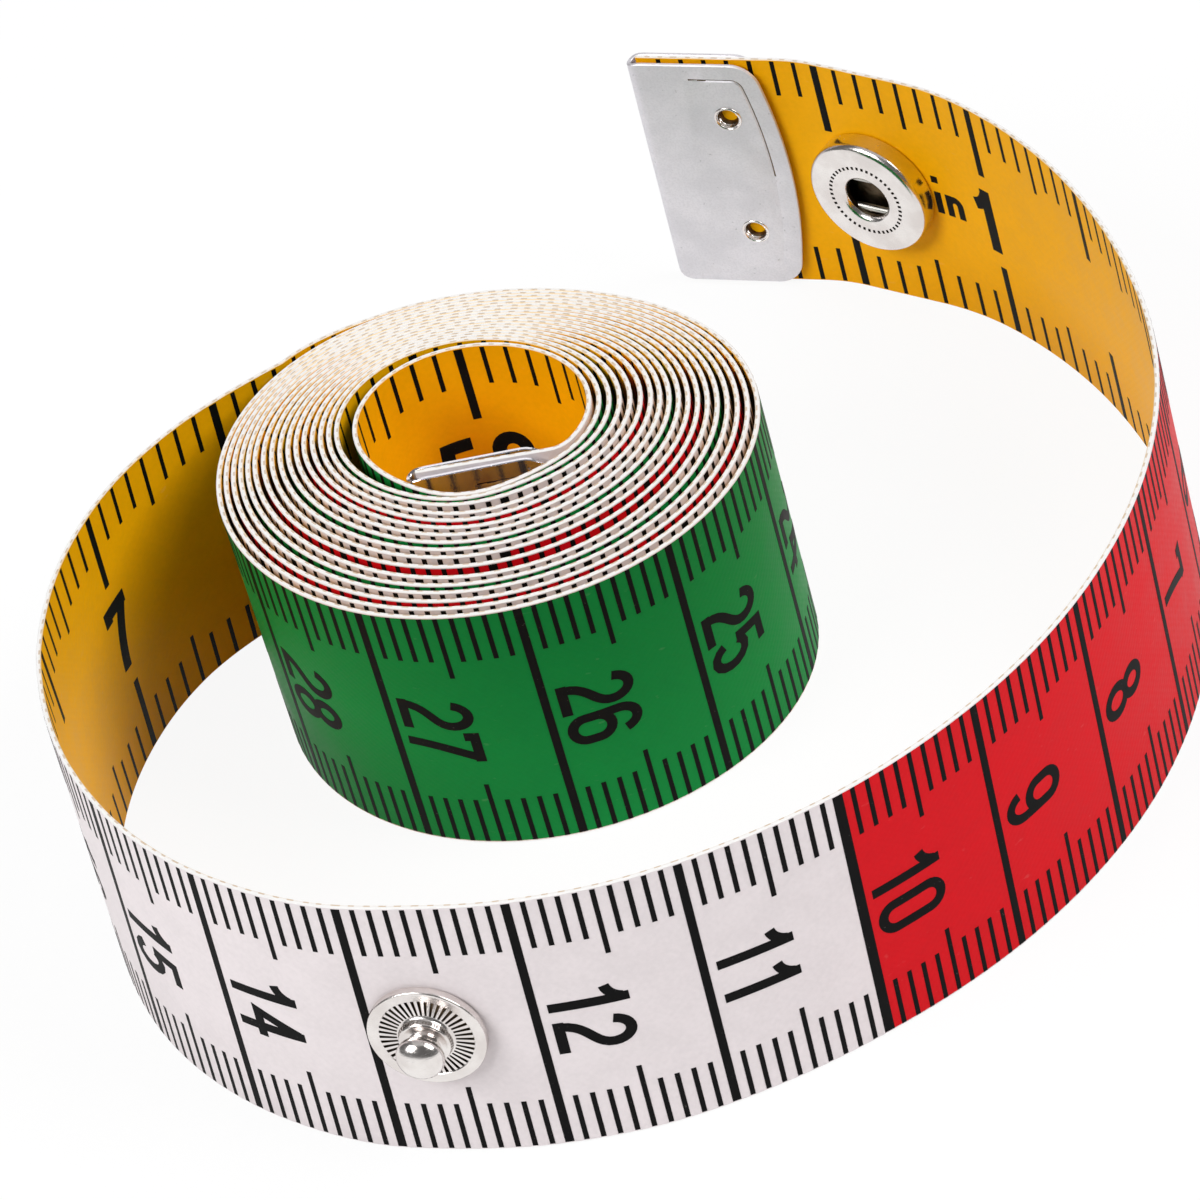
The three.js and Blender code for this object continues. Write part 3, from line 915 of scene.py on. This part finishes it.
def turned(name, profile, steps, side=1):
    """A piece turned on the axis out of the tape's face, from radii and distances along it."""
    piece = start_point(name, (profile[0][0], side * profile[0][1], 0))
    for (radius, out), (next_radius, next_out) in zip(profile, profile[1:]):
        extrude(next_radius - radius, side * (next_out - out), 0)
    bpy.ops.mesh.select_all(action="SELECT")
    bpy.ops.mesh.spin(steps=steps, angle=2 * math.pi, center=(0, 0, 0), axis=(0, 1, 0))
    close_up()
    return piece


def round_corner(radius, out, size, start, end, steps=5):
    """Points of a profile's rounded corner, about its own middle."""
    return arc(radius, out, size, size, start, end, steps)


def from_axis(at):
    return math.hypot(at.x, at.z)


def every_other(at):
    """Whether a face is in an even step of a fine spin."""
    share = math.atan2(at.z, at.x) % (2 * math.pi) / (2 * math.pi)
    return math.floor(share * FINE_STEPS) % 2 == 0


def put_on_tape(piece, run, height, body, nodes, turn=0.0, smooth_angle=TURNED_SMOOTH):
    """Takes a finished piece to its place, ties it to its body and hides its CAD nodes."""
    bpy.ops.object.mode_set(mode="OBJECT")
    piece.matrix_world = tape_frame(run, height, turn)
    choose(piece)
    bpy.ops.object.transform_apply(location=True, rotation=True, scale=True)
    smooth(piece, smooth_angle)
    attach(piece, body)
    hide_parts(*nodes)


# Clips and rivets

def leaf_outline():
    """A clip's leaf as x along the tape and z about its middle, from the fold's lower end up."""
    half, corner = CLIP_TALL / 2, CLIP_LIP_CORNER
    straight = CLIP_LENGTH - corner
    edge = [(CLIP_CORNER_FROM, -half)]
    edge += [(x, -half) for x in np.linspace(CLIP_EDGE_FROM, straight, 8)]
    bend = arc(straight, corner - half, corner, corner, -90, 0, 7)
    lip = [(CLIP_LENGTH, z) for z in np.linspace(corner - half, 0, 9)]
    lower = edge + bend[1:] + lip[1:]
    upper = [(x, -z) for x, z in reversed(lower[:-1])]

    def bowed(x, z):
        return x + CLIP_BOW * (1 - (z / half) ** 2) if x > straight else x

    return [(bowed(x, z), z) for x, z in lower + upper]


def folded_clip(name, finish):
    """Sheet metal folded over the tape's end, with bowed lips, rivet holes and a pressed line."""
    outline = leaf_outline()
    clip = start_point(name, (outline[0][0], -CLIP_LEAF, outline[0][1]))
    for (x, z), (next_x, next_z) in zip(outline, outline[1:]):
        extrude(next_x - x, 0, next_z - z)
    bpy.ops.mesh.select_all(action="SELECT")
    bpy.ops.mesh.edge_face_add()
    select(clip, "FACE", lambda at: True)
    bpy.ops.mesh.inset(thickness=GROOVE_INSET * MM)
    bpy.ops.mesh.inset(thickness=GROOVE_WALL * MM)
    move(0, GROOVE_DEPTH, 0)
    give_finishes(clip, finish, recess_shade)
    shallow, deep = 0.01 - CLIP_LEAF, 0.9 * GROOVE_DEPTH - CLIP_LEAF
    # Painted shade: the pressed line's wall takes the dark finish in its upper half, off the fold.
    paint(clip, lambda at: shallow < at.y < deep and at.x > GROOVE_FROM and at.z > 0)
    select(clip, "FACE", lambda at: at.y > deep)
    bpy.ops.mesh.inset(thickness=GROOVE_RAMP * MM)
    move(0, -GROOVE_DEPTH, 0)
    select(clip, "VERT", lambda at: at.y > shallow and at.x < GROOVE_FROM)
    move(0, -GROOVE_DEPTH, 0)
    select(clip, "VERT", lambda at: at.y > shallow and at.z < 0)
    move(0, -GROOVE_FADE * GROOVE_DEPTH, 0)
    select(clip, "EDGE", lambda at: abs(at.x - CLIP_CORNER_FROM) < 0.01)
    place = (CLIP_CORNER_FROM, -CLIP_LEAF)
    half = CLIP_TALL / 2
    low, high = -half, half
    stops = [(CLIP_CORNER_HALF, -CLIP_LEAF), (0.0, -CLIP_LEAF)]
    for angle in np.radians((22.5, 45, 67.5, 90)):
        stops.append((-CLIP_LEAF * math.sin(angle), -CLIP_LEAF * math.cos(angle)))
    for x, y in stops:
        cut = CLIP_CORNER - math.sqrt(CLIP_CORNER ** 2 - (CLIP_CORNER_FROM - x) ** 2)
        extrude(x - place[0], y - place[1], 0)
        next_low, next_high = cut - half, half - CLIP_UPPER_CORNER * cut
        scale = (next_high - next_low) / (high - low)
        still = (next_low - scale * low) / (1 - scale)
        bpy.ops.transform.resize(value=(1, 1, scale), center_override=metres(0, 0, still))
        place, low, high = (x, y), next_low, next_high
    bpy.ops.object.mode_set(mode="OBJECT")
    apply_modifier(
        clip, "MIRROR", use_axis=(False, True, False), use_mirror_merge=True,
        merge_threshold=2 * MERGE_REACH * MM,
    )
    bpy.ops.object.mode_set(mode="EDIT")
    close_up()
    bpy.ops.object.mode_set(mode="OBJECT")
    apply_modifier(clip, "SOLIDIFY", thickness=CLIP_SHEET * MM, offset=0, use_even_offset=True)
    apply_modifier(
        clip, "BEVEL", width=CLIP_BEVEL * MM, segments=1, limit_method="ANGLE",
        angle_limit=math.radians(60),
    )
    for height in RIVET_HEIGHTS:
        punch(clip, RIVET_RUN, height - MID_HEIGHT)
    return clip


def punch(piece, x, z):
    """Cuts a rivet's hole through both leaves."""
    deselect()
    bpy.ops.mesh.primitive_cylinder_add(
        vertices=RIVET_STEPS, radius=RIVET_HOLE * MM, depth=4 * MM,
        rotation=(math.pi / 2, 0, 0), location=metres(x, 0, z),
    )
    cutter = bpy.context.object
    apply_modifier(piece, "BOOLEAN", object=cutter, operation="DIFFERENCE", solver="EXACT")
    bpy.data.objects.remove(cutter)


def hollow_rivet(name):
    """A tube through the clip, flared at both ends into a funnel with a rolled rim."""
    outside = CLIP_LEAF + CLIP_SHEET / 2
    upper = [(0.52, 0.17), (0.57, 0.3), (0.65, 0.45), (0.75, outside - 0.07)]
    upper += round_corner(0.88, outside - 0.01, 0.09, 160, 10, 5)
    upper += [(0.9, outside - 0.008), (0.74, outside - 0.05), (0.6, 0.3), (0.58, 0.17)]
    lower = [(radius, -out) for radius, out in reversed(upper)]
    rivet = turned(name, upper + lower + upper[:1], RIVET_STEPS)
    give_finishes(rivet, nickel, recess_shade)
    # Painted shade: the funnel's inner wall takes the dark finish, and the rolled rim stays bright.
    paint(rivet, lambda at: abs(at.y) < 0.4 and from_axis(at) < 0.65)
    return rivet


# Press stud

def socket_ring(name):
    """The half with a hole: a ring over a spring, with a row of small pits about the hole."""
    inner, outer = PIT_RING
    profile = [(0, 0.34), (3.0, 0.34), (4.1, 0.6), (4.1, 1.42), (2.0, 1.42), (1.68, 1.14)]
    profile += [(1.58, 1.2)] + round_corner(2.02, 1.36, 0.42, 180, 90, 7)
    profile += [(2.3, 1.78), (inner, 1.78), (outer, 1.78), (3.3, 1.775)]
    profile += round_corner(3.95, 1.32, 0.45, 90, 0, 8) + [(4.4, 0.34)]
    profile += round_corner(4.28, 0.32, 0.12, 0, -90, 3) + [(0, 0.2)]
    ring = turned(name, profile, FINE_STEPS, side=-1)
    give_finishes(ring, nickel, recess_shade)
    # Painted shade: the ring's inside, seen through its hole, takes the dark finish.
    paint(ring, lambda at: -1.43 < at.y < -0.3 and from_axis(at) < 4.12)

    def is_pit(at):
        return at.y < -1.7 and inner < from_axis(at) < outer and every_other(at)

    select(ring, "FACE", is_pit)
    bpy.ops.mesh.inset(thickness=0.015 * MM, depth=-0.22 * MM, use_individual=True)
    # Painted shade in the floors of the pits.
    paint(ring, lambda at: -1.75 < at.y < -1.5 and inner < from_axis(at) < outer)
    return ring


def cap_with_post(name):
    """The cap on the far side of the socket: a low dome with a rolled rim."""
    profile = [(0, 1.33), (0.9, 1.31), (1.8, 1.25), (2.6, 1.15), (3.3, 1.0), (3.75, 0.86)]
    profile += [(3.85, 0.8), (3.95, 0.82)] + round_corner(4.28, 0.64, 0.22, 100, -20, 6)
    profile += [(4.4, 0.28), (4.3, 0.2), (0, 0.2)]
    cap = turned(name, profile, DISC_STEPS)
    give_finishes(cap, nickel)
    return cap


def fluted_stud(name):
    """The half with a head: a flange with a ring of flutes, a tall collar, a neck and the head."""
    inner, outer = FLUTE_RING
    head = arc(0, 2.38, 1.45, 0.95, 90, -44, 14)
    profile = head + [(1.02, 1.58), (1.02, 1.42), (1.12, 1.36), (1.36, 1.34)]
    profile += round_corner(1.42, 1.2, 0.14, 80, 0, 4) + [(1.58, 0.92), (1.66, 0.8)]
    profile += [(inner, 0.75), (outer, 0.72), (2.88, 0.76), (3.3, 0.77)]
    profile += round_corner(3.43, 0.66, 0.12, 90, 0, 4) + [(3.55, 0.26), (3.48, 0.18), (0, 0.18)]
    stud = turned(name, profile, FINE_STEPS)

    def is_flute(at):
        return 0.7 < at.y < 0.76 and inner < from_axis(at) < outer and every_other(at)

    select(stud, "FACE", is_flute)
    bpy.ops.mesh.inset(thickness=0.018 * MM, depth=-0.2 * MM, use_individual=True)
    give_finishes(stud, nickel, recess_shade)
    # Painted shade in the floors of the flutes.
    paint(stud, lambda at: 0.45 < at.y < 0.7 and 1.77 < from_axis(at) < 2.82)
    return stud


def flat_post(name):
    """The riveted disc behind the stud: a round edge and a punched dimple."""
    profile = [(0, 0.62), (0.45, 0.64), (0.75, 0.8), (0.95, 0.83), (2.9, 0.8)]
    profile += round_corner(3.4, 0.5, 0.3, 80, -10, 6) + [(3.6, 0.2), (0, 0.2)]
    post = turned(name, profile, DISC_STEPS, side=-1)
    give_finishes(post, nickel)
    return post


def spring_leg(name, side):
    """One gripping side of the socket's wire, with its ends bent back."""
    deselect()
    bpy.ops.mesh.primitive_circle_add(
        vertices=12, radius=SPRING_RADIUS * MM, fill_type="NGON", rotation=(0, math.pi / 2, 0),
        location=metres(-SPRING_HALF, -SPRING_DEPTH, side * (SPRING_OUT + SPRING_END_OUT)),
    )
    leg = bpy.context.object
    leg.name = leg.data.name = name
    bpy.ops.object.transform_apply(location=True, rotation=True, scale=True)
    bpy.ops.object.mode_set(mode="EDIT")
    bpy.ops.mesh.select_all(action="SELECT")
    steps = [(0.2, -0.25), (0.25, -0.18), (0.35, -0.1), (0.4, -0.02)]
    steps += [(0.58, 0)] * 6 + [(run, -rise) for run, rise in reversed(steps)]
    for run, rise in steps:
        extrude(run, 0, side * rise)
    close_up()
    select(leg, "EDGE", lambda at: abs(abs(at.x) - SPRING_HALF) < 0.06)
    bpy.ops.mesh.bevel(offset=SPRING_END_ROUND * MM, segments=2)
    give_finishes(leg, steel)
    return leg


# Making the tape and its print

for name, first, last, node, bodies, fold in TAPE_PIECES:
    last = TAPE_LENGTH if last is None else last
    strip = tape_strip(name + "_tape", first, last)
    scales = Print(first, last)
    scales.centimetres()
    scales.inches()
    printed = scales.piece(name + "_print")
    for piece in (strip, printed):
        if fold is None:
            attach(piece, bodies[0])
        else:
            reaches = (fold - FOLD_REACH, fold + FOLD_REACH)
            ends = [tuple(on_tape(run, MID_HEIGHT, 0.0)) for run in reaches]
            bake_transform(piece)
    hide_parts(node)


# Making the metal pieces

for end, run, turn, body, finish in (
    ("outer", 0.0, 0.0, "end_stretch", plate),
    ("inner", TAPE_LENGTH, math.pi, "coil", rubbed),
):
    clip = folded_clip(end + "_clip", finish)
    put_on_tape(clip, run, MID_HEIGHT, body, [end + "_end_clip"], turn, CLIP_SMOOTH)
    rivet_run = run + math.cos(turn) * RIVET_RUN
    for number, height in enumerate(RIVET_HEIGHTS, 1):
        rivet = hollow_rivet(f"{end}_rivet_{number}")
        put_on_tape(rivet, rivet_run, height, body, [f"{end}_clip_rivet_{number}"], turn)
for make, name, run, body, node in (
    (socket_ring, "socket", SOCKET_RUN, "end_stretch", "snap_socket"),
    (cap_with_post, "cap", SOCKET_RUN, "end_stretch", "snap_cap"),
    (fluted_stud, "stud", STUD_RUN, "front_stretch", "snap_stud"),
    (flat_post, "post", STUD_RUN, "front_stretch", "stud_post"),
):
    put_on_tape(make(name), run, MID_HEIGHT, body, [node])
for place, side in (("upper", 1), ("lower", -1)):
    leg = spring_leg("spring_wire_" + place, side)
    nodes = ["socket_spring_" + place]
    put_on_tape(leg, SOCKET_RUN, MID_HEIGHT, "spring_" + place, nodes)


# Camera, floor and light

AIM = Vector((-1.632, -3.426, 9.5)) * MM
CAMERA_DISTANCE = 388.14 * MM
CAMERA_ELEVATION, CAMERA_ROLL = (math.radians(angle) for angle in (38.75, -14.452))
CAMERA_NEAR = 0.01
SENSOR = 36.0
FOCAL_PIXELS, PICTURE_PIXELS = 6276.3, 1200


def add_camera():
    back = Vector((0, -math.cos(CAMERA_ELEVATION), math.sin(CAMERA_ELEVATION)))
    level = Vector((1, 0, 0))
    upright = back.cross(level)
    right = math.cos(CAMERA_ROLL) * level + math.sin(CAMERA_ROLL) * upright
    up = back.cross(right)
    axes = Matrix((right, up, back)).transposed().to_4x4()
    lens = bpy.data.cameras.new("camera")
    lens.sensor_fit = "HORIZONTAL"
    lens.sensor_width = SENSOR
    lens.lens = FOCAL_PIXELS * SENSOR / PICTURE_PIXELS
    lens.clip_start = CAMERA_NEAR
    camera = bpy.data.objects.new("camera", lens)
    camera.matrix_world = Matrix.Translation(AIM + back * CAMERA_DISTANCE) @ axes
    bpy.context.collection.objects.link(camera)
    bpy.context.scene.camera = camera


def add_softbox(name, place, size, level):
    """A square lamp turned to the tape. At level 1 a white surface that faces it renders white."""
    lamp = bpy.data.lights.new(name, "AREA")
    lamp.size = size
    lamp.energy = level * math.pi ** 2 * Vector(place).length_squared
    box = bpy.data.objects.new(name, lamp)
    turn = Vector(place).to_track_quat("Z", "Y").to_matrix().to_4x4()
    box.matrix_world = Matrix.Translation(place) @ turn
    bpy.context.collection.objects.link(box)


def seen_directly(tree):
    """1 for rays from the camera, a reflection or glass, and 0 for light that spreads."""
    rays = [add_node(tree, "ShaderNodeLightPath", output=name)
            for name in ("Is Camera Ray", "Is Glossy Ray", "Is Transmission Ray")]
    return rays[0].math("MAXIMUM", rays[0].math("MAXIMUM", rays[0], rays[1]), rays[2])


AMBIENT = 0.13
FLOOR_GLOW = 0.92
FLOOR_SIZE, FLOOR_DROP = 4.0, 0.00012


def add_surroundings():
    world = bpy.data.worlds.new("studio")
    bpy.context.scene.world = world
    world.use_nodes = True
    tree = world.node_tree
    tree.nodes.clear()
    by_camera = add_node(tree, "ShaderNodeLightPath", output="Is Camera Ray")
    sockets = {"Color": (1, 1, 1, 1), "Strength": by_camera * (1 - AMBIENT) + AMBIENT}
    sky = add_node(tree, "ShaderNodeBackground", None, sockets)
    out = tree.nodes.new("ShaderNodeOutputWorld")
    tree.links.new(sky.socket, out.inputs["Surface"])

    finish = Finish("floor_paper")
    paper = finish.node("ShaderNodeBsdfDiffuse", None, {"Color": (0.93, 0.93, 0.93, 1)})
    glow = finish.node("ShaderNodeEmission", None, {"Color": (1, 1, 1, 1), "Strength": 1.0})
    share = seen_directly(finish.tree) * FLOOR_GLOW
    finish.node_out(finish.node("ShaderNodeMixShader", None, {0: share, 1: paper, 2: glow}))
    deselect()
    bpy.ops.mesh.primitive_plane_add(size=FLOOR_SIZE, location=(0, 0, -FLOOR_DROP))
    floor = bpy.context.object
    floor.name = "floor"
    floor.data.materials.append(finish.material)


add_camera()
for name, place, size, level in (
    ("overhead", (-0.05, 0.0, 0.7), 0.6, 0.1),
    ("left", (-0.55, -0.3, 0.55), 0.45, 0.7),
    ("right", (0.52, -0.2, 0.6), 0.45, 0.73),
    ("back", (0.1, 0.62, 0.5), 0.5, 0.14),
):
    add_softbox(name, place, size, level)
add_surroundings()
bpy.context.scene.view_settings.view_transform = "Standard"
